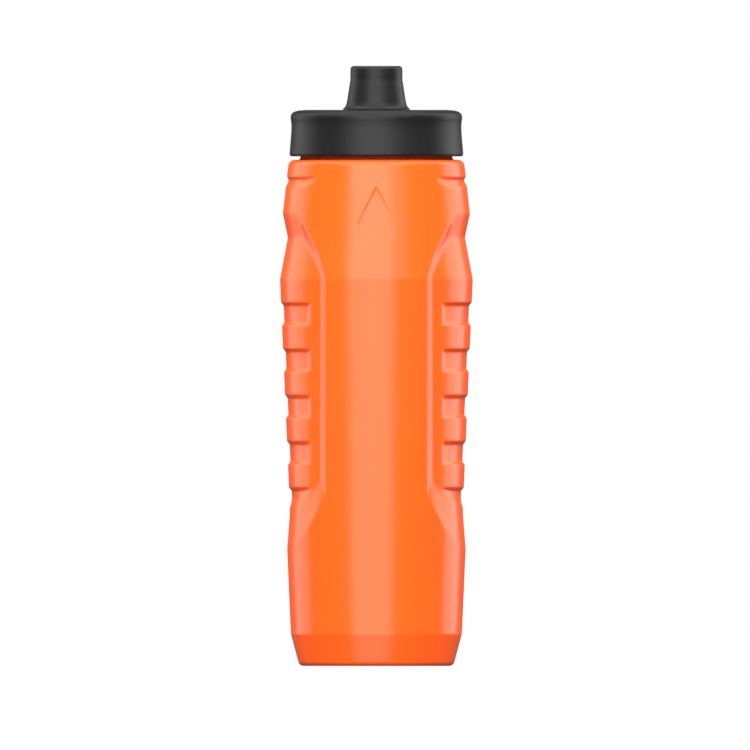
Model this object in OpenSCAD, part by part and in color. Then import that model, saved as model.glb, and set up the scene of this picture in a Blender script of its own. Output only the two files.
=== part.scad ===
// Sports squeeze bottle: a blow-moulded bottle with recessed side grips, a screw lid with a
// rubber seal, a cone spout, and a self-closing slit valve held in the spout by a ring.
// Millimetres, +Z up, standing on z = 0. The front faces -Y and the grips face +X and -X.

/* [Bottle body] */
// Height of the shoulder above the ground
shoulder_z = 217.6; // [205:0.1:265]
// Height of the widest ring of the body
widest_z = 166.3; // [150:0.1:180]
// Height of the top of the bevelled heel
heel_z = 13.5; // [6:0.1:25]
// Radius of the body at its widest ring
widest_r = 43.3; // [40:0.1:53]
// Radius of the body where the cone meets the shoulder
shoulder_r = 37.6; // [36.5:0.1:42]
// Radius of the body at the top of the heel
heel_r = 36.7; // [34:0.1:40]
// Radius of the body where the heel meets the ground, before it is rounded
foot_r = 32.9; // [30:0.1:34]
// Rounding of the edge that the bottle stands on
foot_round = 1.6; // [0.8:0.1:2.5]
// Rounding of the shoulder's outer edge
shoulder_round = 3; // [1:0.1:4]
// Thickness of the blown wall
wall = 1.4; // [1:0.1:2]
// Height that the middle of the base is pushed up
punt_h = 3.2; // [1:0.1:6]
// Radius of the flat middle of the pushed-up base
punt_r = 20; // [10:0.5:24]
// Inner radius of the ring that the bottle stands on
stand_r = 27; // [25:0.5:29]

/* [Grips] */
// Depth of the grip panels below the body
grip_depth = 1.9; // [1:0.1:2.5]
// Depth of the grip panels at their waist
grip_waist_depth = 3.3; // [2:0.1:4]
// Height of the grips' waist
grip_waist_z = 184.2; // [181:0.1:190]
// Height at which the panels run out at the top
grip_top_z = 194.5; // [191:0.1:200]
// Height at which the panels run out at the bottom
grip_bottom_z = 50; // [40:0.1:55]
// Length of the ramp at the bottom of the panels
grip_ramp = 12.7; // [8:0.1:16]
// Half width of the plain face between the two grips
face_half_w = 21.6; // [18:0.1:26]
// Width of the bevel beside that face
face_bevel = 2.7; // [1.5:0.1:4]
// Height of the upper corner of the panels
grip_upper_z = 167.5; // [160:0.1:175]
// Height of the lower corner of the panels
grip_lower_z = 73; // [65:0.1:80]
// Depth of the finger pockets below the panels
pocket_depth = 1.05; // [0.5:0.05:1.5]
// Height of a finger pocket at its mouth
pocket_h = 10.7; // [8:0.1:12]
// Width of the bevel round a pocket
pocket_bevel = 1.8; // [1:0.1:2.5]
// Distance from one pocket to the next
pocket_pitch = 19.9; // [17:0.1:22]
// Height of the middle of the top pocket
pocket_top_z = 151.3; // [145:0.1:155]
// Distance of a pocket's inner end from the middle of the front
pocket_x = 28; // [26:0.1:32]
// Number of pockets on each side
pocket_count = 5; // [3:1:5]
// Depth of the short groove below the shoulder
notch_depth = 1.05; // [0.5:0.05:1.5]
// Height of that groove at its mouth
notch_h = 4.4; // [3:0.1:6]
// Distance of that groove below the shoulder
notch_drop = 9.4; // [7:0.1:12]
// Distance of that groove's ends from the middle of the front
notch_x = 26; // [22:0.1:29]

/* [Emblem] */
// Height of the droplet pressed into the front
drop_h = 26; // [15:0.5:30]
// Radius of the round end of the droplet
drop_r = 8.2; // [5:0.1:10]
// Depth of the droplet
drop_depth = 0.4; // [0.2:0.05:0.6]
// Distance of the middle of the droplet below the shoulder
drop_below = 24; // [20:0.5:30]

/* [Neck and thread] */
// Outer radius of the neck, at the root of its thread
neck_r = 32.7; // [30:0.1:33.5]
// Height of the neck above the shoulder
neck_h = 17.8; // [16:0.1:22]
// Thickness of the neck
neck_wall = 2; // [1.5:0.1:2.5]
// Depth of the thread
thread_depth = 1.5; // [1:0.1:1.8]
// Height that one full turn lifts the lid
thread_lead = 10; // [9:0.1:12]
// Number of thread starts
thread_starts = 2; // [1:1:2]
// Turn that each ridge of the neck's thread covers, in degrees
thread_turn = 260; // [120:10:300]
// Width of a ridge at its root
ridge_root_w = 2.4; // [1.8:0.1:2.6]
// Width of a ridge at its crest
ridge_crest_w = 1.2; // [0.8:0.1:1.5]

/* [Lid] */
// Thickness of the lid's skirt at its waist
lid_wall = 1.8; // [1.4:0.1:2.5]
// Thickness of the lid's top
lid_top_t = 2.2; // [1.6:0.1:3]
// Gap between the closed lid and the shoulder
lid_gap = 1.5; // [1:0.1:3]
// Depth of the plug ring that enters the neck
plug_depth = 3.5; // [2:0.1:5]
// Thickness of the plug ring
plug_wall = 1.5; // [1:0.1:2]
// Thickness of the seal ring
seal_t = 1.5; // [1:0.1:2.5]

/* [Spout] */
// Height of the spout above the lid
spout_h = 18.9; // [15:0.1:24]
// Radius of the spout's straight tip
tip_r = 11.2; // [10.8:0.1:13]
// Length of the spout's straight tip
tip_h = 6; // [4.8:0.1:8]
// Widening of the cone from its tip to its foot
cone_taper = 1.5; // [0.5:0.1:3]
// Width of the flare round the foot
flare_w = 1.7; // [1:0.1:3]
// Height of the flared foot
flare_h = 3.6; // [2:0.1:5]
// Rounding of the tip's edge
tip_round = 1.6; // [0.8:0.1:2]
// Thickness of the spout's wall at its tip
spout_wall = 1.5; // [1:0.1:1.8]

/* [Valve] */
// Width of the ledge that the valve is pushed up against
ledge_w = 1.7; // [1:0.1:2]
// Depth of the valve's seat below the tip
seat_depth = 4.8; // [4:0.1:6]
// Thickness of the valve's flange
flange_t = 1.3; // [0.8:0.1:2]
// Thickness of the sleeve that carries the petals
sleeve_t = 1.5; // [1:0.1:2]
// Thickness of the petals
petal_t = 0.8; // [0.5:0.1:1.2]
// Height of the petals' top above the valve's seat
petal_rise = 1; // [0.9:0.1:1.5]
// Width of the slits
slit_w = 0.4; // [0.3:0.05:0.6]
// Height of the ring that holds the valve
retainer_h = 4.3; // [3:0.1:6]

/* [Hidden] */
$fn = 96;

// Clearances
thread_clear = 0.5;
flank_clear = 0.3;
plug_clear = 0.4;
seal_clear = 0.3;
spigot_clear = 0.15;
valve_clear = 0.1;
sleeve_clear = 0.4;
petal_clear = 0.1;

// How far the corners of the grips' outline lie from the plain face's edge and from the levels above
top_spread = 13.1;
top_over = 2;
waist_spread = 9.4;
waist_over = 0.4;
corner_step = 1;
foot_step = 4.5;
low_spread = 9.1;
low_drop = 14.5;
ramp_spread = 5.7;
ramp_drop = 0.8;
ramp_rise = 4.2;
side_inset = 3.5;
side_rise = 2.6;
side_lean = 1.2;
pocket_rise = 6.5;
pocket_side = 8;
pocket_margin = 5;
pocket_end_bevel = 1.9;
notch_end_bevel = 3.9;

// Levels and radii that follow from the sizes above
lip_z = shoulder_z + neck_h;
lid_under_z = lip_z + seal_t;
lid_top_z = lid_under_z + lid_top_t;
lid_foot_z = shoulder_z + lid_gap;
tip_z = lid_top_z + spout_h;
seat_z = tip_z - seat_depth;
lid_bore_r = neck_r + thread_depth + thread_clear;
lid_waist_r = lid_bore_r + lid_wall;
neck_bore_r = neck_r - neck_wall;
plug_r = neck_bore_r - plug_clear;
cone_r = tip_r + cone_taper;
flare_r = cone_r + flare_w;
spigot_r = cone_r - 0.4;
spigot_hole_r = spigot_r + spigot_clear;
valve_bore_r = tip_r - spout_wall;
mouth_r = valve_bore_r - ledge_w;
sleeve_r = mouth_r - sleeve_clear;
petal_r = sleeve_r - sleeve_t - petal_clear;
retainer_hole_r = petal_r + 0.8;
thread_pitch = thread_lead / thread_starts;
outside = 20;

function lerp(a, b, t) = a + (b - a) * t;

// Radius of the plain body at a height, taken in by inset
function body_r(z, inset = 0) = -inset + (z > widest_z
    ? lerp(widest_r, shoulder_r, (z - widest_z) / (shoulder_z - widest_z))
    : lerp(widest_r, heel_r, (widest_z - z) / (widest_z - heel_z)));

// Radius of the grip panels at a height
function grip_r(z, inset = 0) = body_r(z, inset) - (z > widest_z
    ? lerp(grip_depth, grip_waist_depth, (z - widest_z) / (grip_waist_z - widest_z))
    : grip_depth);

// Sideways place of the lowest corners of the grips' outline
side_x = body_r(grip_bottom_z) - side_inset;

// Points of an arc about a centre, from one angle to another
function arc(centre, r, from, to, steps = 6) =
    [for (i = [0 : steps]) centre + r * [cos(lerp(from, to, i / steps)), sin(lerp(from, to, i / steps))]];

// Section of the plain body without its neck
function body_section(inset = 0) = concat(
    [[0, punt_h + inset], [punt_r, punt_h + inset], [stand_r, inset]],
    inset > 0
        ? [[foot_r - inset, inset + foot_round], [heel_r - inset, heel_z],
           [widest_r - inset, widest_z], [shoulder_r - inset, shoulder_z - shoulder_round]]
        : concat(
            arc([foot_r - foot_round + 0.4, foot_round], foot_round, -90, -15),
            [[heel_r, heel_z], [widest_r, widest_z]],
            arc([body_r(shoulder_z - shoulder_round) - shoulder_round, shoulder_z - shoulder_round],
                shoulder_round, 6, 90)),
    [[neck_bore_r, shoulder_z - inset], [0, shoulder_z - inset]]);

// The body's own surface in the grips, standing clear of the plain body above and below them
module grip_floor(inset) {
    ramp_z = grip_bottom_z + grip_ramp;
    low = [body_r(grip_bottom_z, inset), grip_bottom_z];
    high = [body_r(grip_top_z, inset), grip_top_z];
    foot = [grip_r(ramp_z, inset), ramp_z];
    waist = [grip_r(grip_waist_z, inset), grip_waist_z];
    bottom = low + 3 * (low - foot);
    top = high + 3 * (high - waist);
    rotate_extrude()
        polygon([[0, bottom.y], bottom, foot, [grip_r(widest_z, inset), widest_z], waist, top, [0, top.y]]);
}

// One edge of the grip opening: where it leaves the body, and where it meets the panel
function grip_edge(x_out, z_out, x_in, z_in, inset) = let (
    r_out = body_r(z_out, inset),
    r_in = grip_r(z_in, inset),
    p = [x_out, sqrt(r_out * r_out - x_out * x_out), z_out],
    q = [x_in, sqrt(r_in * r_in - x_in * x_in), z_in]) [q - (p - q), q + 3 * (p - q)];

// The opening that the grips are cut through: its outline is one edge after another, front and back
module grip_opening(inset) {
    x = face_half_w - inset;
    x_floor = x + face_bevel;
    ramp_z = grip_bottom_z + grip_ramp;
    edges = [
        grip_edge(x + top_spread, grip_top_z + top_over, x_floor + waist_spread, grip_waist_z + waist_over, inset),
        grip_edge(x, grip_upper_z, x_floor, grip_upper_z - corner_step, inset),
        grip_edge(x, grip_lower_z, x_floor, grip_lower_z + foot_step, inset),
        grip_edge(x + low_spread, grip_lower_z - low_drop, x_floor + ramp_spread, grip_lower_z - ramp_drop, inset),
        grip_edge(side_x, grip_bottom_z + side_rise, side_x - side_lean, ramp_z + ramp_rise, inset)];
    count = len(edges);
    mirrored = [for (i = [count - 1 : -1 : 0]) [for (p = edges[i]) [p.x, -p.y, p.z]]];
    loop = concat(edges, mirrored);
    n = len(loop);
    mid_z = lerp(grip_bottom_z, grip_top_z, 0.5);
    points = concat([for (e = loop) e[0]], [for (e = loop) e[1]], [[0, 0, mid_z], [2 * widest_r, 0, mid_z]]);
    sides = [for (i = [0 : n - 1]) let (j = (i + 1) % n) each [[j + n, i + n, i], [j, j + n, i]]];
    caps = [for (i = [0 : n - 1]) let (j = (i + 1) % n) each [[2 * n, j, i], [2 * n + 1, i + n, j + n]]];
    polyhedron(points, concat(sides, caps));
}

// Plan of what lies beyond a slanting line through two points of the wall, and beyond its mirror in Y
module beyond(x_out, r_out, x_in, r_in) {
    p = [x_out, sqrt(r_out * r_out - x_out * x_out)];
    q = [x_in, sqrt(r_in * r_in - x_in * x_in)];
    u = (p - q) / norm(p - q);
    a = p + outside * u;
    b = q - outside / 2 * u;
    polygon([a, b, [b.x, -b.y], [a.x, -a.y], [2 * widest_r, -a.y], [2 * widest_r, a.y]]);
}

// A groove round the body with bevelled sides, for cutting
module ring_groove(z, r, h, depth, bevel) {
    slope = bevel / depth;
    out = 2;
    rotate_extrude()
        polygon([[r - depth, z - h / 2 + bevel], [r + out, z - h / 2 - out * slope],
                 [r + out, z + h / 2 + out * slope], [r - depth, z + h / 2 - bevel]]);
}

// Front view of where pockets may lie: above a slanting line from the inner end, x, at the height z
module pocket_limit(x, z) {
    far = 2 * widest_r;
    polygon([[x - pocket_margin, z], [x + pocket_side, z - pocket_side - pocket_margin / 2],
             [x + pocket_side, grip_bottom_z], [far, grip_bottom_z], [far, shoulder_z],
             [x - pocket_margin, shoulder_z]]);
}

// The finger pockets of one grip. The lowest one stops at the panel's slanting lower edge
module pockets(inset) {
    for (i = [0 : pocket_count - 1]) {
        z = pocket_top_z - i * pocket_pitch;
        r = grip_r(z, inset);
        x = pocket_x - inset;
        intersection() {
            ring_groove(z, r, pocket_h + 2 * inset, pocket_depth, pocket_bevel);
            translate([0, 0, z - outside])
                linear_extrude(2 * outside)
                    beyond(x, r, x + pocket_end_bevel, r - pocket_depth);
            rotate([90, 0, 0])
                linear_extrude(4 * widest_r, center = true)
                    pocket_limit(x, grip_lower_z + pocket_rise - inset);
        }
    }
}

// The short groove below the shoulder
module notch(inset) {
    z = shoulder_z - notch_drop;
    r = body_r(z, inset);
    intersection() {
        ring_groove(z, r, notch_h + 2 * inset, notch_depth, notch_h * 0.4);
        translate([0, 0, z - outside])
            linear_extrude(2 * outside)
                beyond(notch_x - inset, r, notch_x - inset + notch_end_bevel, r - notch_depth);
    }
}

// The body with its grips, without its neck: the outside at inset 0, the inside at the wall's thickness
module body_form(inset = 0) {
    difference() {
        rotate_extrude()
            polygon(body_section(inset));
        for (side = [0, 1])
            mirror([side, 0, 0]) {
                difference() {
                    grip_opening(inset);
                    grip_floor(inset);
                }
                pockets(inset);
                notch(inset);
            }
    }
}

// The droplet's outline, round end down, about its own middle
module droplet() {
    apex = drop_h - drop_r;
    tangent = asin(drop_r / apex);
    translate([0, drop_r - drop_h / 2])
        polygon(concat([[0, apex]], arc([0, 0], drop_r, 180 - tangent, 360 + tangent, 24)));
}

// What is pressed out of the front
module drop_press() {
    z = shoulder_z - drop_below;
    low = z - drop_h;
    high = z + drop_h;
    difference() {
        translate([0, 0, z])
            rotate([90, 0, 0])
                linear_extrude(2 * widest_r)
                    droplet();
        rotate_extrude()
            polygon([[0, low], [body_r(low, drop_depth), low], [body_r(widest_z, drop_depth), widest_z],
                     [body_r(high, drop_depth), high], [0, high]]);
    }
}

// Corners of a ridge's section at an angle and a height, from its root to its crest
function ridge_corners(a, z, root_r, crest_r) = [
    for (c = [[root_r, -ridge_root_w], [crest_r, -ridge_crest_w],
              [crest_r, ridge_crest_w], [root_r, ridge_root_w]])
        [c.x * cos(a), c.x * sin(a), z + c.y / 2]];

// One helical ridge, sunk into its wall, that fades in and out at its ends
module ridge(wall_r, crest_r, z, from, turn) {
    sink = 0.4;
    outward = sign(crest_r - wall_r);
    root_r = wall_r - outward * sink;
    faint_r = wall_r - outward * sink / 2;
    step = 10;
    fade = 3;
    n = floor(turn / step);
    points = [for (i = [0 : n]) let (
        a = from + i * step,
        full = min(1, i / fade, (n - i) / fade))
        each ridge_corners(a, z + thread_lead * a / 360, root_r, lerp(faint_r, crest_r, full))];
    sides = [for (i = [0 : n - 1]) for (j = [0 : 3]) let (
        a = 4 * i + j, b = 4 * i + (j + 1) % 4, c = b + 4, d = a + 4)
        each outward > 0 ? [[a, b, c], [a, c, d]] : [[c, b, a], [d, c, a]]];
    ends = [[3, 2, 1, 0], [4 * n, 4 * n + 1, 4 * n + 2, 4 * n + 3]];
    closed = [for (e = ends) outward > 0 ? e : [e[3], e[2], e[1], e[0]]];
    polyhedron(points, concat(sides, closed));
}

// All the starts of a thread
module thread(wall_r, crest_r, z, from, turn) {
    for (i = [0 : thread_starts - 1])
        rotate([0, 0, i * 360 / thread_starts])
            ridge(wall_r, crest_r, z, from, turn);
}

thread_z = shoulder_z + 4.9;

// Blown bottle with its neck, pushed-up base, grips and droplet
module bottle_body() {
    color("darkorange")
        union() {
            difference() {
                union() {
                    body_form();
                    translate([0, 0, shoulder_z - wall])
                        cylinder(r = neck_r, h = neck_h + wall);
                }
                body_form(wall);
                translate([0, 0, shoulder_z - 2 * wall])
                    cylinder(r = neck_bore_r, h = neck_h + 3 * wall);
                drop_press();
            }
            thread(neck_r, neck_r + thread_depth, thread_z, 0, thread_turn);
        }
}

// Flat ring of rubber between the bottle's lip and the lid
module lid_seal() {
    color("dimgray")
        translate([0, 0, lip_z])
            difference() {
                cylinder(r = lid_bore_r - seal_clear, h = seal_t);
                translate([0, 0, -1])
                    cylinder(r = plug_r + seal_clear, h = seal_t + 2);
            }
}

// Section of the lid's outside: a flared skirt, a waist, and a rounded rim
function lid_outline() = let (
    flare = lid_waist_r + 0.95,
    bead = lid_waist_r + 0.5,
    bead_z = lid_top_z - 2.8)
    concat(
        [[0, lid_foot_z], [flare - 0.5, lid_foot_z], [flare, lid_foot_z + 0.5],
         [lid_waist_r + 0.42, lerp(lid_foot_z, bead_z, 0.42)],
         [lid_waist_r + 0.18, lerp(lid_foot_z, bead_z, 0.62)],
         [lid_waist_r, lerp(lid_foot_z, bead_z, 0.80)], [bead, bead_z]],
        [for (i = [1 : 6]) let (a = 15 * i) [bead - 3.8 * (1 - cos(a)), bead_z + 2.8 * sin(a)]],
        [[0, lid_top_z]]);

// Moulded lid with its thread, its plug ring and the hole for the spout
module lid_cap() {
    lid_thread_z = thread_z - thread_pitch / 2
        + (thread_pitch - ridge_root_w - ridge_crest_w) / 2 - flank_clear;
    color("dimgray")
        union() {
            difference() {
                rotate_extrude()
                    polygon(lid_outline());
                difference() {
                    translate([0, 0, lid_foot_z - 1])
                        cylinder(r = lid_bore_r, h = lid_under_z - lid_foot_z + 1);
                    translate([0, 0, lid_under_z - seal_t - plug_depth])
                        difference() {
                            cylinder(r = plug_r, h = seal_t + plug_depth + 1);
                            translate([0, 0, -1])
                                cylinder(r = plug_r - plug_wall, h = seal_t + plug_depth + 3);
                        }
                }
                translate([0, 0, lid_under_z - 1])
                    cylinder(r = spigot_hole_r, h = lid_top_t + 2);
            }
            thread(lid_bore_r, neck_r + thread_clear, lid_thread_z, 30, thread_turn - 50);
        }
}

// Hollow cone that seats on the lid and snaps through its hole
module spout() {
    snap = 0.5;
    tip_base_z = tip_z - tip_h;
    bore_z = lid_under_z - 1.6;
    color("dimgray")
        difference() {
            rotate_extrude()
                polygon(concat(
                    [[0, bore_z], [spigot_r, bore_z], [spigot_r + snap, lid_under_z - 0.6],
                     [spigot_r + snap, lid_under_z], [spigot_r, lid_under_z], [spigot_r, lid_top_z],
                     [flare_r, lid_top_z], [lerp(cone_r, flare_r, 0.5), lid_top_z + flare_h * 0.3],
                     [lerp(cone_r, flare_r, 0.18), lid_top_z + flare_h * 0.55], [cone_r, lid_top_z + flare_h],
                     [tip_r, tip_base_z]],
                    arc([tip_r - tip_round, tip_z - tip_round], tip_round, 0, 90),
                    [[0, tip_z]]));
            translate([0, 0, bore_z - 1])
                cylinder(r = valve_bore_r, h = seat_z - bore_z + 1);
            translate([0, 0, seat_z - 1])
                cylinder(r = mouth_r, h = seat_depth + 2);
            retainer_bead(valve_clear);
        }
}

// Where the petals hinge: the top edge of the valve's opening
petal_top_z = seat_z + petal_rise;

// Soft valve body: a flange clamped below the seat, and a short sleeve that carries the petals
module valve_seat() {
    color("gray")
        difference() {
            union() {
                translate([0, 0, seat_z - flange_t])
                    cylinder(r = valve_bore_r - valve_clear, h = flange_t);
                translate([0, 0, seat_z - flange_t])
                    cylinder(r = sleeve_r, h = flange_t + petal_rise);
            }
            translate([0, 0, seat_z - flange_t - 1])
                cylinder(r = petal_r + petal_clear, h = flange_t + petal_rise + 2);
        }
}

// One flap of the valve, turned to its place
module petal(turn) {
    color("gray")
        rotate([0, 0, turn])
            translate([0, 0, petal_top_z - petal_t])
                intersection() {
                    cylinder(r = petal_r, h = petal_t);
                    rotate([0, 0, -45])
                        translate([slit_w / 2, slit_w / 2, -1])
                            cube([2 * petal_r, 2 * petal_r, petal_t + 2]);
                }
}

retainer_z = seat_z - flange_t - retainer_h;

// Bead that snaps the holding ring into the spout, grown by a clearance
module retainer_bead(clear) {
    foot = 1.1 + clear;
    crest = 0.4;
    ring_r = valve_bore_r - valve_clear;
    bead_r = valve_bore_r + 0.3 + clear;
    translate([0, 0, retainer_z + retainer_h / 2])
        rotate_extrude()
            polygon([[retainer_hole_r, -foot], [ring_r, -foot], [bead_r, -crest],
                     [bead_r, crest], [ring_r, foot], [retainer_hole_r, foot]]);
}

// Ring that is pushed up the spout and holds the valve on its seat
module valve_retainer() {
    color("dimgray")
        difference() {
            union() {
                translate([0, 0, retainer_z])
                    cylinder(r = valve_bore_r - valve_clear, h = retainer_h);
                retainer_bead(0);
            }
            translate([0, 0, retainer_z - 1])
                cylinder(r = retainer_hole_r, h = retainer_h + 2);
        }
}

bottle_body();
lid_seal();
lid_cap();
spout();
valve_seat();
petal(0);  // valve_petal_right
petal(90);  // valve_petal_back
petal(180);  // valve_petal_left
petal(270);  // valve_petal_front
valve_retainer();
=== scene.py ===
import math

import bmesh
import bpy
from mathutils import Matrix, Vector


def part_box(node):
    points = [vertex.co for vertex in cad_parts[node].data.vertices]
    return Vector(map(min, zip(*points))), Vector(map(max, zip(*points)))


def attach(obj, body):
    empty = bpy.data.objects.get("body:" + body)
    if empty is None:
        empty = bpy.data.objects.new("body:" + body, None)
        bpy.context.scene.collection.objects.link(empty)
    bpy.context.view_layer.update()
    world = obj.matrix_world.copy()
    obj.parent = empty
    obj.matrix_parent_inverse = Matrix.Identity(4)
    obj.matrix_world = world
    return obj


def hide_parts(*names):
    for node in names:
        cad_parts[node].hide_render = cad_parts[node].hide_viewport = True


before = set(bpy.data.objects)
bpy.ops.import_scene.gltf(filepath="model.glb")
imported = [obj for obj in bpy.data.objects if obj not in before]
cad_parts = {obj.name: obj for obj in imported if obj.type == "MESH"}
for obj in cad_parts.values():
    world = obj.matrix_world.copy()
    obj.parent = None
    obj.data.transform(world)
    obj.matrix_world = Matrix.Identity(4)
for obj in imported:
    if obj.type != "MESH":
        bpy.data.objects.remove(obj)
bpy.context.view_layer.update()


# ---- Camera ----
# A long lens square on to the front of the bottle, so its sides stay parallel.
camera = bpy.data.objects.new("camera", bpy.data.cameras.new("camera"))
camera.data.type = "ORTHO"
camera.data.ortho_scale = 0.3225
camera.data.clip_end = 20.0
camera.location = (-0.0006, -1.5, 0.1251)
camera.rotation_euler = (math.radians(90), 0.0, 0.0)
bpy.context.scene.collection.objects.link(camera)
bpy.context.scene.camera = camera


# ---- Studio ----
# A pale floor that fades into white, and a broad light above with a fill kept out of reflections.
# One wide softbox stands behind the lens, and two behind the bottle's sides draw its upright bands.
bpy.context.scene.view_settings.view_transform = "Standard"

sky = bpy.data.worlds.new("sky")
bpy.context.scene.world = sky
sky.use_nodes = True
sky_nodes, sky_links = sky.node_tree.nodes, sky.node_tree.links
sky_nodes.clear()
seen_sky = sky_nodes.new("ShaderNodeBackground")
seen_sky.inputs["Color"].default_value = (1.0, 1.0, 1.0, 1.0)
seen_sky.inputs["Strength"].default_value = 1.0
soft_sky = sky_nodes.new("ShaderNodeBackground")
soft_sky.inputs["Color"].default_value = (1.0, 1.0, 1.0, 1.0)
soft_sky.inputs["Strength"].default_value = 0.12
ray_kind = sky_nodes.new("ShaderNodeLightPath")
sky_mix = sky_nodes.new("ShaderNodeMixShader")
sky_out = sky_nodes.new("ShaderNodeOutputWorld")
sky_links.new(ray_kind.outputs["Is Camera Ray"], sky_mix.inputs["Fac"])
sky_links.new(soft_sky.outputs["Background"], sky_mix.inputs[1])
sky_links.new(seen_sky.outputs["Background"], sky_mix.inputs[2])
sky_links.new(sky_mix.outputs["Shader"], sky_out.inputs["Surface"])


def softbox(name, place, aim, width, height, watts):
    """A rectangular studio light at a place, turned to face its aim."""
    light = bpy.data.objects.new(name, bpy.data.lights.new(name, "AREA"))
    light.data.shape = "RECTANGLE"
    light.data.size = width
    light.data.size_y = height
    light.data.energy = watts
    light.location = place
    light.rotation_euler = (Vector(aim) - Vector(place)).to_track_quat("-Z", "Y").to_euler()
    light.visible_camera = False
    bpy.context.scene.collection.objects.link(light)
    return light


middle = (0.0, 0.0, 0.12)
softbox("overhead", (0.0, -0.3, 1.85), middle, 3.8, 3.0, 62.0)
fill = softbox("overhead_fill", (0.0, -0.3, 1.85), middle, 3.8, 3.0, 236.0)
fill.visible_glossy = False
softbox("high_front", (0.0, -1.9, 1.25), middle, 3.2, 1.3, 27.0)
softbox("front", (-0.24, -2.2, -0.1), middle, 2.2, 2.3, 40.0)
softbox("left_side", (-1.6, 0.83, 0.62), middle, 1.3, 1.7, 10.5)
softbox("right_side", (1.6, 0.83, 0.62), middle, 1.3, 1.7, 14.5)

floor_mesh = bpy.data.meshes.new("floor")
floor_shape = bmesh.new()
bmesh.ops.create_grid(floor_shape, x_segments=2, y_segments=2, size=4.0)
floor_shape.to_mesh(floor_mesh)
floor_shape.free()
floor = bpy.data.objects.new("floor", floor_mesh)
bpy.context.scene.collection.objects.link(floor)
floor_paint = bpy.data.materials.new("pale_floor")
floor_paint.use_nodes = True
nodes, links = floor_paint.node_tree.nodes, floor_paint.node_tree.links
near_floor = nodes["Principled BSDF"]
near_floor.inputs["Base Color"].default_value = (0.31, 0.31, 0.31, 1.0)
near_floor.inputs["Roughness"].default_value = 0.8
far_floor = nodes.new("ShaderNodeEmission")
far_floor.inputs["Strength"].default_value = 1.0
place, distance = nodes.new("ShaderNodeTexCoord"), nodes.new("ShaderNodeVectorMath")
distance.operation = "LENGTH"
fade, floor_mix = nodes.new("ShaderNodeMapRange"), nodes.new("ShaderNodeMixShader")
fade.interpolation_type = "SMOOTHSTEP"
fade.inputs["From Min"].default_value = 0.16
fade.inputs["From Max"].default_value = 0.55
links.new(place.outputs["Object"], distance.inputs[0])
links.new(distance.outputs["Value"], fade.inputs["Value"])
links.new(fade.outputs["Result"], floor_mix.inputs["Fac"])
links.new(near_floor.outputs["BSDF"], floor_mix.inputs[1])
links.new(far_floor.outputs["Emission"], floor_mix.inputs[2])
links.new(floor_mix.outputs["Shader"], nodes["Material Output"].inputs["Surface"])
floor_mesh.materials.append(floor_paint)
floor.visible_shadow = False
floor.visible_glossy = False
floor.visible_diffuse = False


# ---- Bottle ----
# The squeeze bottle: one thin wall of orange low-density polyethylene, blown in a two-part mould.
# Its grips, finger pockets and droplet come from the mould, and its thread from the neck ring.
# Outlines are in millimetres, as (radius, height, rounding) corners.
MM = 0.001


def rounded(corners, loop=False, keep=0.12):
    """Points of an outline whose corners (radius, height, rounding) are turned by arcs."""
    points = []
    count = len(corners)
    for i, (r, z, rounding) in enumerate(corners):
        here = Vector((r, z))
        if rounding == 0 or (not loop and i in (0, count - 1)):
            points.append(here)
            continue
        back = Vector(corners[i - 1][:2]) - here
        ahead = Vector(corners[(i + 1) % count][:2]) - here
        turn = math.pi - back.angle(ahead)
        reach = rounding * math.tan(turn / 2)
        reach = min(reach, back.length * 0.48, ahead.length * 0.48)
        radius = reach / math.tan(turn / 2)
        start = here + back.normalized() * reach
        end = here + ahead.normalized() * reach
        centre = here + (back.normalized() + ahead.normalized()).normalized() * math.hypot(reach, radius)
        steps = max(2, math.ceil(math.degrees(turn) / 14))
        if back.length - reach > 4 * keep:
            points.append(start + back.normalized() * keep)
        for k in range(steps + 1):
            spoke = (start - centre).slerp(end - centre, k / steps)
            points.append(centre + spoke * radius)
        if ahead.length - reach > 4 * keep:
            points.append(end + ahead.normalized() * keep)
    return points


def turned(points, steps, loop=False, sweep=math.tau):
    """A bmesh of an outline turned about the bottle's axis, outside out, in metres."""
    shape = bmesh.new()
    ring = [shape.verts.new((p[0] * MM, 0.0, p[1] * MM)) for p in points]
    edges = [shape.edges.new(pair) for pair in zip(ring, ring[1:])]
    if loop:
        edges.append(shape.edges.new((ring[-1], ring[0])))
    bmesh.ops.spin(
        shape, geom=ring + edges, axis=(0, 0, 1), angle=sweep, steps=steps, use_merge=sweep == math.tau)
    bmesh.ops.remove_doubles(shape, verts=shape.verts, dist=2e-6)
    bmesh.ops.dissolve_degenerate(shape, edges=shape.edges, dist=1e-7)
    bmesh.ops.recalc_face_normals(shape, faces=shape.faces)
    return shape


def finished(name, shape, material, body, slot, *nodes):
    """The object made of a bmesh: shaded smooth, painted, and set to ride on its body."""
    for face in shape.faces:
        face.smooth = True
    mesh = bpy.data.meshes.new(name)
    shape.to_mesh(mesh)
    shape.free()
    mesh.materials.append(material)
    piece = bpy.data.objects.new(name, mesh)
    bpy.context.scene.collection.objects.link(piece)
    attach(piece, body)
    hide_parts(*nodes)
    return piece


def soft_min(a, b, blend):
    """The smaller of two depths, with the crease between them rounded."""
    near = max(blend - abs(a - b), 0.0) / blend
    return min(a, b) - near * near * blend / 4


def soft_max(a, b, blend):
    """The larger of two depths, with the crease between them rounded."""
    return -soft_min(-a, -b, blend)


body_low, body_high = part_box("bottle_body")
lip_z = body_high.z / MM
shoulder_z = lip_z - 17.8
widest_z = 166.3
widest_r = body_high.y / MM
wall = 1.4
neck_r = 32.7
neck_bore_r = 30.7
foot_r, heel_r, heel_z = 32.9, 36.7, 13.5
shoulder_r = 37.6

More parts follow.
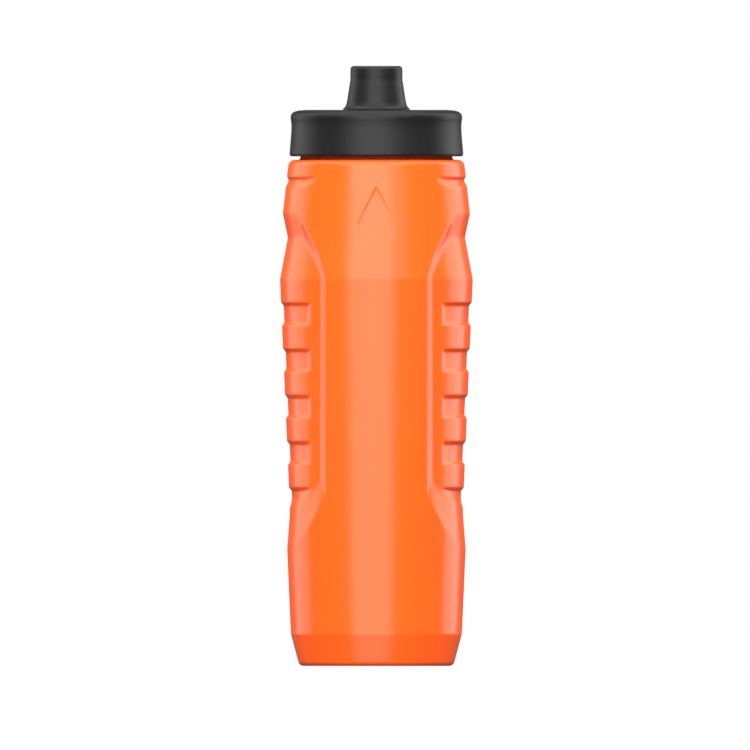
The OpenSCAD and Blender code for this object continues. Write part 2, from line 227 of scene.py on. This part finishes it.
outside = rounded([
    (0.0, 3.2, 0), (19.0, 3.2, 8.0), (27.0, 0.0, 1.6), (foot_r + 0.2, 0.0, 2.4),
    (heel_r, heel_z, 3.0), (widest_r, widest_z, 1.5), (shoulder_r, shoulder_z, 3.0),
    (neck_r, shoulder_z, 1.1), (neck_r, lip_z, 0.5), (neck_bore_r, lip_z, 0.5), (neck_bore_r, lip_z - 2, 0)])
inside = rounded([
    (neck_bore_r, lip_z - 2, 0), (neck_bore_r, shoulder_z - wall, 0.8),
    (shoulder_r - wall, shoulder_z - wall, 1.6),
    (widest_r - wall, widest_z, 3.0), (heel_r - wall, heel_z, 3.0), (foot_r - wall, wall, 1.6),
    (27.0, wall, 1.6), (19.0, 3.2 + wall, 8.0), (0.0, 3.2 + wall, 0)])

# Grips: each number is where the panel's outline or a pocket's edge lies, seen from the front.
panel_depth, waist_depth = 1.9, 3.3
waist_z, panel_top_z, panel_foot_z, ramp_z = 184.2, 194.5, 50.0, 62.7
face_x, bevel_w = 21.6, 2.7
pocket_z, pocket_pitch, pocket_count = 151.3, 19.9, 5
pocket_half, pocket_bevel, pocket_depth, pocket_x = 5.05, 1.45, 1.1, 28.3
notch_z, notch_half, notch_depth, notch_x = shoulder_z - 9.4, 2.2, 1.05, 26.0
mould_line = 0.07


def slope_beyond(x, z, start, end, slope):
    """Depth beyond a line from start to end, growing to its right at a slope."""
    along = (Vector(end) - Vector(start)).normalized()
    return slope * ((x - start[0]) * along.y - (z - start[1]) * along.x)


def panel(x, z):
    """Depth of a grip's panel below the plain body, at a place seen from the front."""
    waist_slope = (waist_depth - panel_depth) / (waist_z - widest_z)
    depth = soft_max(panel_depth, panel_depth + waist_slope * (z - widest_z), 0.08)
    depth = soft_min(depth, (panel_top_z - z) * waist_depth / (panel_top_z - waist_z), 0.16)
    depth = soft_min(depth, (z - panel_foot_z) * panel_depth / (ramp_z - panel_foot_z), 0.25)
    depth = soft_min(depth, (x - face_x) * panel_depth / bevel_w, 0.3)
    depth = soft_min(depth, slope_beyond(x, z, (21.6, 167.3), (25.1, 178.3), 0.85), 0.2)
    depth = soft_min(depth, slope_beyond(x, z, (25.1, 178.3), (33.7, 194.2), 0.83), 0.2)
    depth = soft_min(depth, slope_beyond(x, z, (31.7, 55.3), (21.6, 73.0), 0.33), 0.3)
    depth = soft_min(depth, slope_beyond(x, z, (37.3, 51.0), (31.7, 55.3), 0.156), 0.3)
    return soft_max(depth, 0.0, 0.15)


def pocket(x, z):
    """Depth of the finger pockets below their panel."""
    nearest = round((pocket_z - z) / pocket_pitch)
    row = min(max(nearest, 0), pocket_count - 1)
    level = pocket_z - row * pocket_pitch
    steep = pocket_depth / pocket_bevel
    edge = soft_min(steep * (pocket_half - abs(z - level)), 0.66 * (x - pocket_x), 0.7)
    depth = soft_min(pocket_depth, edge, 0.16)
    depth = soft_min(depth, slope_beyond(x, z, (36.0, 69.0), (23.0, 79.5), 0.5), 0.3)
    return soft_max(depth, 0.0, 0.12)


def notch(x, z):
    """Depth of the short groove below the shoulder, steep above and easy below."""
    depth = soft_min(notch_depth, 0.64 * (notch_z + notch_half - z), 0.15)
    taper = max(notch_x + 4.5 - x, 0.0) * 0.5
    depth = soft_min(depth, 0.38 * (z - notch_z + notch_half - taper), 0.3)
    depth = soft_min(depth, 0.2 * (x - notch_x), 0.2)
    return soft_max(depth, 0.0, 0.12)


drop_z, drop_r, drop_h, drop_depth = shoulder_z - 24.0, 8.2, 26.0, 0.4
drop_centre = drop_z - drop_h / 2 + drop_r
drop_lean = math.asin(drop_r / (drop_h - drop_r))


def droplet(x, z):
    """Depth of the droplet pressed into the front, a round foot under a straight-sided point."""
    up = z - drop_centre
    if up * math.cos(drop_lean) > x * math.sin(drop_lean):
        inside_by = drop_r - x * math.cos(drop_lean) - up * math.sin(drop_lean)
    else:
        inside_by = drop_r - math.hypot(x, up)
    step = min(max(inside_by / 0.5, 0.0), 1.0)
    return drop_depth * step * step * (3 - 2 * step)


quarter_columns = 60


def spread(turn):
    """Gathers a quarter's upright mesh lines where the grip's edges are, in degrees from +X."""
    count = quarter_columns
    stops = [(0.0, 0.0), (1 / count, 0.5), (12 / count, 38.0), (51 / count, 64.0), (1.0, 90.0)]
    share = min(turn / 90.0, 1.0)
    for (a, low), (b, high) in zip(stops, stops[1:]):
        if share <= b:
            return low + (high - low) * (share - a) / (b - a)


def mesh_heights(low, high):
    """Heights of the bottle's level mesh lines: close together where something is pressed in."""
    close = [
        (pocket_z - i * pocket_pitch + side * 4.5, 1.6, 0.5)
        for i in range(pocket_count) for side in (-1, 1)]
    close += [(notch_z, 3.0, 0.4), (panel_top_z, 1.6, 0.4), (181.0, 13.0, 0.8), (57.0, 9.0, 0.8)]
    heights, z = [], low
    while z < high - 0.3:
        heights.append(z)
        gap = 1.7
        for level, reach, fine in close:
            if abs(z - level) <= reach or 0 < level - reach - z < gap:
                gap = min(gap, max(fine, level - reach - z))
        z += gap
    return heights


def with_level_lines(points):
    """The outline with extra points down the long straight sides of the body."""
    out = [points[0]]
    for a, b in zip(points, points[1:]):
        if b.y - a.y > 20 and a.x > 30:
            for z in mesh_heights(a.y + 1.0, b.y - 1.0):
                out.append(a.lerp(b, (z - a.y) / (b.y - a.y)))
        elif abs(b.y - a.y) > 20:
            pieces = round(abs(b.y - a.y) / 6)
            out += [a.lerp(b, k / pieces) for k in range(1, pieces)]
        out.append(b)
    return out


def plain_radius(z, inner):
    """Radius of the plain body on its straight sides, outside or inside."""
    if z > widest_z:
        radius = widest_r + (shoulder_r - widest_r) * (z - widest_z) / (shoulder_z - widest_z)
    else:
        radius = widest_r + (heel_r - widest_r) * (widest_z - z) / (widest_z - heel_z)
    return radius - (wall if inner else 0.0)


# One quarter is turned and pressed in, and mirrored into the whole body.
bottle = turned(
    with_level_lines(outside) + with_level_lines(inside)[1:], quarter_columns, sweep=math.tau / 4)
for vert in bottle.verts:
    radius, z = math.hypot(vert.co.x, vert.co.y) / MM, vert.co.z / MM
    if radius < 0.01:
        continue
    turn = math.radians(spread(math.degrees(math.atan2(vert.co.y, vert.co.x))))
    inner = radius < plain_radius(z, True) + wall / 2
    depth = 0.0
    if radius > neck_r and heel_z + 3 < z < shoulder_z - 3:
        for _ in range(3):
            x = (radius - depth) * math.cos(turn)
            if inner:
                past_bevel = min(max((x - face_x - bevel_w) / 3, 0.0), 1.0)
                depth = panel(x, z) * (1 + 0.5 * past_bevel * (z < widest_z))
            else:
                depth = panel(x, z) + pocket(x, z) + notch(x, z)
        if not inner and turn < 1e-6:
            depth -= mould_line
    vert.co.x = (radius - depth) * math.cos(turn) * MM
    vert.co.y = (radius - depth) * math.sin(turn) * MM
for axis in ("X", "Y"):
    whole = bottle.verts[:] + bottle.edges[:] + bottle.faces[:]
    bmesh.ops.mirror(bottle, geom=whole, axis=axis, merge_dist=1e-6)
bmesh.ops.recalc_face_normals(bottle, faces=bottle.faces)

# The front's mesh is made finer where the droplet is pressed in.
reach_x, reach_z = drop_r + 2.5, drop_h / 2 + 1.5
front_edges = [edge for edge in bottle.edges if all(
    v.co.y < 0 and abs(v.co.x) / MM < reach_x and abs(v.co.z / MM - drop_z) < reach_z
    and math.hypot(v.co.x, v.co.y) / MM > plain_radius(v.co.z / MM, True) + wall / 2 for v in edge.verts)]
patch = bmesh.ops.subdivide_edges(bottle, edges=front_edges, cuts=4, use_grid_fill=True)
front_verts = {v for edge in front_edges if edge.is_valid for v in edge.verts}
front_verts |= {v for v in patch["geom_inner"] if isinstance(v, bmesh.types.BMVert)}
for vert in front_verts:
    z = vert.co.z / MM
    radius = plain_radius(z, False) - droplet(abs(vert.co.x) / MM, z)
    scale = radius * MM / math.hypot(vert.co.x, vert.co.y)
    vert.co.x *= scale
    vert.co.y *= scale


def add_ridge(shape, wall_r, crest_r, z, start, sweep):
    """Adds one helical ridge of a thread to a bmesh. It fades into the wall at both ends."""
    root_r = wall_r - math.copysign(0.3, crest_r - wall_r)
    steps = round(sweep / 5)
    coil = bmesh.new()
    verts = [coil.verts.new((r * MM, 0.0, (z + w) * MM)) for r, w in (
        (root_r, -ridge_root / 2), (crest_r, -ridge_crest / 2),
        (crest_r, ridge_crest / 2), (root_r, ridge_root / 2))]
    face = coil.faces.new(verts)
    bmesh.ops.spin(
        coil, geom=[face, *face.edges, *verts], axis=(0, 0, 1), angle=math.radians(sweep),
        dvec=(0, 0, thread_lead * sweep / 360 / steps * MM), steps=steps)
    for vert in coil.verts:
        turn = math.degrees(math.atan2(vert.co.y, vert.co.x)) % 360
        turn = 0.0 if turn > 359 else turn
        full = min(1.0, turn / 28, max(0.0, (sweep - turn) / 28))
        radius = math.hypot(vert.co.x, vert.co.y) / MM
        faded = (root_r + (radius - root_r) * full) / radius
        vert.co.x *= faded
        vert.co.y *= faded
    bmesh.ops.holes_fill(coil, edges=[e for e in coil.edges if e.is_boundary], sides=4)
    bmesh.ops.recalc_face_normals(coil, faces=coil.faces)
    bmesh.ops.rotate(coil, verts=coil.verts, matrix=Matrix.Rotation(math.radians(start), 3, "Z"))
    mesh = bpy.data.meshes.new("coil")
    coil.to_mesh(mesh)
    coil.free()
    shape.from_mesh(mesh)
    bpy.data.meshes.remove(mesh)


thread_lead, thread_z = 10.0, shoulder_z + 4.9
ridge_root, ridge_crest = 2.4, 1.2
for start in (0, 180):
    add_ridge(bottle, neck_r, neck_r + 1.5, thread_z, start, 260)


def material_for(name, colour, roughness, specular=0.5):
    """A plastic or rubber with its plain values set, and its nodes, links and shader."""
    material = bpy.data.materials.new(name)
    material.use_nodes = True
    shader = material.node_tree.nodes["Principled BSDF"]
    shader.inputs["Base Color"].default_value = (*colour, 1.0)
    shader.inputs["Roughness"].default_value = roughness
    shader.inputs["Specular IOR Level"].default_value = specular
    return material, material.node_tree.nodes, material.node_tree.links, shader


def moulded_skin_group():
    """Shared effect: the fine skin of a moulding. Gives a bump normal, a roughness and a tone."""
    group = bpy.data.node_groups.new("moulded_skin", "ShaderNodeTree")
    for name, kind, value in (
            ("Grain Size", "NodeSocketFloat", 4000.0), ("Grain Depth", "NodeSocketFloat", 0.1),
            ("Wave Size", "NodeSocketFloat", 60.0), ("Wave Depth", "NodeSocketFloat", 0.1),
            ("Roughness", "NodeSocketFloat", 0.4), ("Roughness Range", "NodeSocketFloat", 0.1)):
        socket = group.interface.new_socket(name, in_out="INPUT", socket_type=kind)
        socket.default_value = value
    group.interface.new_socket("Normal", in_out="OUTPUT", socket_type="NodeSocketVector")
    group.interface.new_socket("Roughness", in_out="OUTPUT", socket_type="NodeSocketFloat")
    group.interface.new_socket("Tone", in_out="OUTPUT", socket_type="NodeSocketFloat")
    nodes, links = group.nodes, group.links
    given, out = nodes.new("NodeGroupInput"), nodes.new("NodeGroupOutput")
    place = nodes.new("ShaderNodeTexCoord")
    grain, wave = nodes.new("ShaderNodeTexNoise"), nodes.new("ShaderNodeTexNoise")
    grain.inputs["Detail"].default_value = 3.0
    wave.inputs["Detail"].default_value = 2.0
    for noise, size in ((grain, "Grain Size"), (wave, "Wave Size")):
        links.new(place.outputs["Object"], noise.inputs["Vector"])
        links.new(given.outputs[size], noise.inputs["Scale"])
    fine, broad = nodes.new("ShaderNodeBump"), nodes.new("ShaderNodeBump")
    fine.inputs["Distance"].default_value = 0.00004
    broad.inputs["Distance"].default_value = 0.0006
    links.new(grain.outputs["Fac"], fine.inputs["Height"])
    links.new(given.outputs["Grain Depth"], fine.inputs["Strength"])
    links.new(wave.outputs["Fac"], broad.inputs["Height"])
    links.new(given.outputs["Wave Depth"], broad.inputs["Strength"])
    links.new(broad.outputs["Normal"], fine.inputs["Normal"])
    links.new(fine.outputs["Normal"], out.inputs["Normal"])
    centred = nodes.new("ShaderNodeMath")
    centred.operation = "SUBTRACT"
    centred.inputs[1].default_value = 0.5
    links.new(wave.outputs["Fac"], centred.inputs[0])
    varied = nodes.new("ShaderNodeMath")
    varied.operation = "MULTIPLY_ADD"
    links.new(centred.outputs["Value"], varied.inputs[0])
    links.new(given.outputs["Roughness Range"], varied.inputs[1])
    links.new(given.outputs["Roughness"], varied.inputs[2])
    links.new(varied.outputs["Value"], out.inputs["Roughness"])
    both = nodes.new("ShaderNodeMix")
    both.inputs["Factor"].default_value = 0.6
    links.new(wave.outputs["Fac"], both.inputs["A"])
    links.new(grain.outputs["Fac"], both.inputs["B"])
    links.new(both.outputs["Result"], out.inputs["Tone"])
    return group


moulded_skin = moulded_skin_group()


def add_skin(nodes, links, shader, **values):
    """Gives a material the shared moulded skin with its own values, and returns the group node."""
    skin = nodes.new("ShaderNodeGroup")
    skin.node_tree = moulded_skin
    for name, value in values.items():
        skin.inputs[name.replace("_", " ").title()].default_value = value
    links.new(skin.outputs["Normal"], shader.inputs["Normal"])
    links.new(skin.outputs["Roughness"], shader.inputs["Roughness"])
    return skin


def two_tone(nodes, links, shader, mask, first, second):
    """Mixes a material's colour between two tones by a mask."""
    tones = nodes.new("ShaderNodeMix")
    tones.data_type = "RGBA"
    tones.inputs["A"].default_value = (*first, 1.0)
    tones.inputs["B"].default_value = (*second, 1.0)
    links.new(mask, tones.inputs["Factor"])
    links.new(tones.outputs["Result"], shader.inputs["Base Color"])
    return tones


orange, nodes, links, shader = material_for("orange_polyethylene", (1.0, 0.103, 0.009), 0.23)
shader.inputs["Subsurface Weight"].default_value = 0.08
shader.inputs["Subsurface Radius"].default_value = (1.0, 0.35, 0.1)
shader.inputs["Subsurface Scale"].default_value = 0.003
skin = add_skin(nodes, links, shader, grain_size=2600.0, grain_depth=0.12, wave_size=30.0, wave_depth=0.03,
                roughness=0.23, roughness_range=0.04)
tones = two_tone(nodes, links, shader, skin.outputs["Tone"], (1.0, 0.098, 0.0085), (1.0, 0.108, 0.0095))

# Painted shade: just above the shoulder, round the neck's root under the lid's edge, the colour is mixed
# towards a dark red-brown and the roughness is raised, standing in for the shade the lid casts there.
place, height = nodes.new("ShaderNodeTexCoord"), nodes.new("ShaderNodeSeparateXYZ")
above_shoulder, neck_shade = nodes.new("ShaderNodeMapRange"), nodes.new("ShaderNodeValToRGB")
above_shoulder.inputs["From Min"].default_value = shoulder_z * MM
above_shoulder.inputs["From Max"].default_value = (shoulder_z + 4.0) * MM
neck_shade.color_ramp.elements[0].color = (0.0, 0.0, 0.0, 1.0)
neck_shade.color_ramp.elements[1].color = (0.0, 0.0, 0.0, 1.0)
for share in (0.2, 0.55):
    neck_shade.color_ramp.elements.new(share).color = (0.8, 0.8, 0.8, 1.0)
# Mixes the neck's root towards the dark red-brown of the painted shade under the lid.
neck_shaded_colour = nodes.new("ShaderNodeMix")
neck_shaded_colour.data_type = "RGBA"
neck_shaded_colour.inputs["B"].default_value = (0.16, 0.012, 0.003, 1.0)
links.new(place.outputs["Object"], height.inputs["Vector"])
links.new(height.outputs["Z"], above_shoulder.inputs["Value"])
links.new(above_shoulder.outputs["Result"], neck_shade.inputs["Fac"])
links.new(neck_shade.outputs["Color"], neck_shaded_colour.inputs["Factor"])
links.new(tones.outputs["Result"], neck_shaded_colour.inputs["A"])
links.new(neck_shaded_colour.outputs["Result"], shader.inputs["Base Color"])
# The roughness is raised to 1.0 in the same ring of painted shade.
dull = nodes.new("ShaderNodeMix")
dull.inputs["B"].default_value = 1.0
links.new(neck_shade.outputs["Color"], dull.inputs["Factor"])
links.new(skin.outputs["Roughness"], dull.inputs["A"])
links.new(dull.outputs["Result"], shader.inputs["Roughness"])

finished("bottle_shell", bottle, orange, "bottle", "bottle_plastic", "bottle_body")


# ---- Seal ring ----
# A flat ring of soft grey rubber, punched from sheet. It is pressed into the lid and is squeezed
# on the bottle's lip when the lid is screwed down.
seal_low, seal_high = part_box("lid_seal")
seal_foot, seal_top = seal_low.z / MM, seal_high.z / MM
seal = turned(rounded([
    (30.6, seal_foot, 0.25), (34.4, seal_foot, 0.25), (34.4, seal_top, 0.25), (30.6, seal_top, 0.25)],
    loop=True), 144, loop=True)
seal_rubber, nodes, links, shader = material_for("seal_rubber", (0.10, 0.10, 0.105), 0.7)
skin = add_skin(nodes, links, shader, grain_size=1800.0, grain_depth=0.25, wave_size=150.0, wave_depth=0.03,
                roughness=0.68, roughness_range=0.12)
two_tone(nodes, links, shader, skin.outputs["Tone"], (0.085, 0.085, 0.09), (0.12, 0.12, 0.125))
finished("seal_ring", seal, seal_rubber, "seal", "seal_rubber", "lid_seal")


# ---- Lid ----
# The screw lid, injection moulded in black polypropylene with a fine spark texture. A plug ring
# and a two-start thread are inside it, and the spout snaps through the hole in its top.
lid_low, lid_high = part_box("lid_cap")
lid_foot, lid_top = lid_low.z / MM, lid_high.z / MM
lid_under = seal_top
lid_bore_r, plug_r, plug_foot, hole_r = 34.7, 30.3, seal_foot - 3.5, 12.45
skirt_r, waist_r, rim_r = lid_high.x / MM, 36.5, 37.0
lid_outline = rounded([
    (hole_r, lid_top, 0.3), (30.0, lid_top, 0), (33.4, lid_top - 0.22, 6.0), (35.4, lid_top - 0.75, 4.0),
    (36.6, lid_top - 1.7, 2.6), (rim_r, lid_top - 3.2, 3.0), (waist_r, lid_top - 6.2, 12.0),
    (waist_r + 0.1, lid_top - 9.5, 20.0), (waist_r + 0.5, lid_top - 14.5, 20.0), (skirt_r, lid_foot, 1.1),
    (lid_bore_r, lid_foot, 0.4), (lid_bore_r, lid_under, 0.4), (plug_r, lid_under, 0.3),
    (plug_r, plug_foot, 0.5), (plug_r - 1.5, plug_foot, 0.5), (plug_r - 1.5, lid_under, 0.6),
    (hole_r, lid_under, 0.3)], loop=True)
lid = turned(lid_outline, 180, loop=True)
lid_thread_z = thread_z - 2.5 + 0.7 - 0.3 + thread_lead * 30 / 360
for start in (30, 210):
    add_ridge(lid, lid_bore_r, neck_r + 0.5, lid_thread_z, start, 210)

black, nodes, links, shader = material_for("black_polypropylene", (0.006, 0.006, 0.006), 0.42, 0.3)
skin = add_skin(nodes, links, shader, grain_size=3200.0, grain_depth=0.35, wave_size=90.0, wave_depth=0.02,
                roughness=0.42, roughness_range=0.1)
two_tone(nodes, links, shader, skin.outputs["Tone"], (0.005, 0.005, 0.005), (0.008, 0.008, 0.008))
finished("lid_shell", lid, black, "cap", "lid_plastic", "lid_cap")


# ---- Spout ----
# A hollow cone moulded in the same black plastic. It stands on the lid with a fine seam, and its
# spigot goes through the lid's hole and snaps under it.
spout_low, spout_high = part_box("spout")
spout_foot, tip_z = spout_low.z / MM, spout_high.z / MM
tip_r, cone_r, flare_r = 11.2, 12.7, spout_high.x / MM
valve_bore_r, mouth_r, seat_z = 9.7, 8.0, tip_z - 4.8
ring_mid = seat_z - 1.3 - 4.3 / 2
spout_outline = rounded([
    (mouth_r, tip_z, 0.7), (tip_r, tip_z, 1.7), (tip_r, tip_z - 6.0, 5.0), (cone_r, lid_top + 3.4, 3.0),
    (13.2, lid_top + 1.5, 3.0), (flare_r, lid_top + 0.45, 0.25), (flare_r - 0.1, lid_top + 0.02, 0.1),
    (12.3, lid_top + 0.02, 0), (12.3, lid_under, 0), (12.8, lid_under - 0.02, 0.1),
    (12.8, lid_under - 0.6, 0.3),
    (12.3, spout_foot, 0.3), (valve_bore_r, spout_foot, 0.3), (valve_bore_r, ring_mid - 1.2, 0),
    (10.1, ring_mid - 0.4, 0), (10.1, ring_mid + 0.4, 0), (valve_bore_r, ring_mid + 1.2, 0),
    (valve_bore_r, seat_z, 0.2), (mouth_r, seat_z, 0.2)], loop=True)
spout = turned(spout_outline, 128, loop=True)
spout_black, nodes, links, shader = material_for("spout_polypropylene", (0.006, 0.006, 0.006), 0.42, 0.3)
skin = add_skin(nodes, links, shader, grain_size=3600.0, grain_depth=0.25, wave_size=120.0, wave_depth=0.02,
                roughness=0.42, roughness_range=0.1)
two_tone(nodes, links, shader, skin.outputs["Tone"], (0.005, 0.005, 0.005), (0.008, 0.008, 0.008))
finished("spout_cone", spout, spout_black, "cap", "spout_plastic", "spout")


# ---- Valve sleeve ----
# The outer part of the silicone valve: a flange that is clamped under the spout's ledge, and a
# short sleeve that stands in the mouth and carries the four flaps.
seat_low, seat_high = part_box("valve_seat")
flange_foot, sleeve_top = seat_low.z / MM, seat_high.z / MM
flange_r, sleeve_r, opening_r = 9.6, 7.6, 6.1
sleeve = turned(rounded([
    (opening_r, flange_foot, 0.2), (flange_r, flange_foot, 0.3), (flange_r, seat_z, 0.3),
    (sleeve_r, seat_z, 0.2), (sleeve_r, sleeve_top, 0.35),
    (opening_r, sleeve_top, 0.15)], loop=True), 96, loop=True)
silicone, nodes, links, shader = material_for("valve_silicone", (0.05, 0.05, 0.053), 0.5)
skin = add_skin(nodes, links, shader, grain_size=2400.0, grain_depth=0.15, wave_size=220.0, wave_depth=0.03,
                roughness=0.5, roughness_range=0.12)
two_tone(nodes, links, shader, skin.outputs["Tone"], (0.042, 0.042, 0.045), (0.06, 0.06, 0.063))
finished("valve_sleeve", sleeve, silicone, "cap", "valve_rubber", "valve_seat")


# ---- Valve flaps ----
# Four quarters of a slightly dished disc of the same silicone, parted by a cross-shaped slit. Each
# bends at its root on the sleeve when the bottle is squeezed.
petal_r, petal_t, dish, slit = 6.0, 0.8, 0.35, 0.12


def flap(turn):
    """One quarter of the dished disc, cut out along the two slits beside it."""
    top = [Vector((petal_r * k / 8, sleeve_top - dish * (1 - (k / 8) ** 2))) for k in range(9)]
    under = [Vector((p.x, p.y - petal_t + dish * 0.5 * (1 - (p.x / petal_r) ** 2))) for p in reversed(top)]
    shape = turned(top + under, 96)
    for side in (-1, 1):
        angle = math.radians(turn + side * 45)
        across = Vector((-math.sin(angle), math.cos(angle), 0)) * side
        cut = bmesh.ops.bisect_plane(
            shape, geom=list(shape.verts) + list(shape.edges) + list(shape.faces), dist=1e-7,
            plane_co=-across * slit / 2 * MM, plane_no=across, clear_outer=True)
        edges = [e for e in cut["geom_cut"] if isinstance(e, bmesh.types.BMEdge)]
        bmesh.ops.holes_fill(shape, edges=edges, sides=0)
    bmesh.ops.recalc_face_normals(shape, faces=shape.faces)
    return shape


for side, turn in (("right", 0), ("back", 90), ("left", 180), ("front", 270)):
    finished(
        "valve_flap_" + side, flap(turn), silicone, "petal_" + side, "valve_rubber", "valve_petal_" + side)


# ---- Holding ring ----
# A black ring that is pushed up the spout from below. Its bead snaps into the spout's groove and
# clamps the valve's flange.
ring_low, ring_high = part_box("valve_retainer")
ring_foot, ring_top = ring_low.z / MM, ring_high.z / MM
ring_r, bead_r, ring_hole_r = 9.6, ring_high.x / MM, 6.8
ring = turned(rounded([
    (ring_hole_r, ring_foot, 0.3), (ring_r, ring_foot, 0.3), (ring_r, ring_mid - 1.1, 0),
    (bead_r, ring_mid - 0.4, 0.2), (bead_r, ring_mid + 0.4, 0.2), (ring_r, ring_mid + 1.1, 0),
    (ring_r, ring_top, 0.2),
    (ring_hole_r, ring_top, 0.2)], loop=True), 96, loop=True)
finished("holding_ring", ring, spout_black, "cap", "spout_plastic", "valve_retainer")


bpy.context.view_layer.update()
